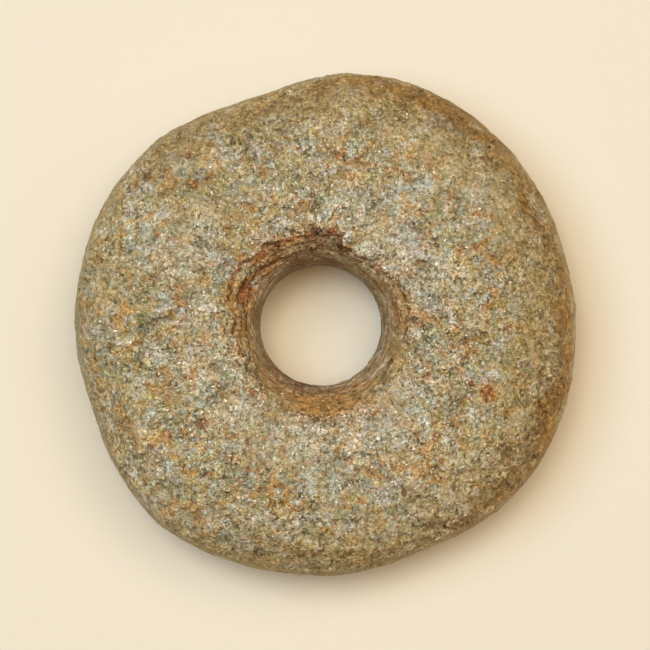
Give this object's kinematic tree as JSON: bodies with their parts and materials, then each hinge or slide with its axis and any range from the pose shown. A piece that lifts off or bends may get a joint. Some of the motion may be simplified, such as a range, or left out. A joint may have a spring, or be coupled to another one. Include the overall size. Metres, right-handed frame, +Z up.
{
  "type": "stone spindle whorl",
  "caption": "Thick ring of pecked stone with an hourglass bore, a weight that keeps a hand spindle turning.",
  "frame": {"origin": "middle of the outline, on the ground flat of the underside", "axes": "+Z up along the bore, out of the face with the chipped mouth; +Y towards the top of the picture"},
  "size_m": [0.044, 0.044, 0.0176],
  "materials": {
    "stone": "pecked and ground mica schist, granular, dull with small bright flakes"
  },
  "bodies": {
    "root": {"spindle_whorl": "stone"}
  },
  "joints": []
}
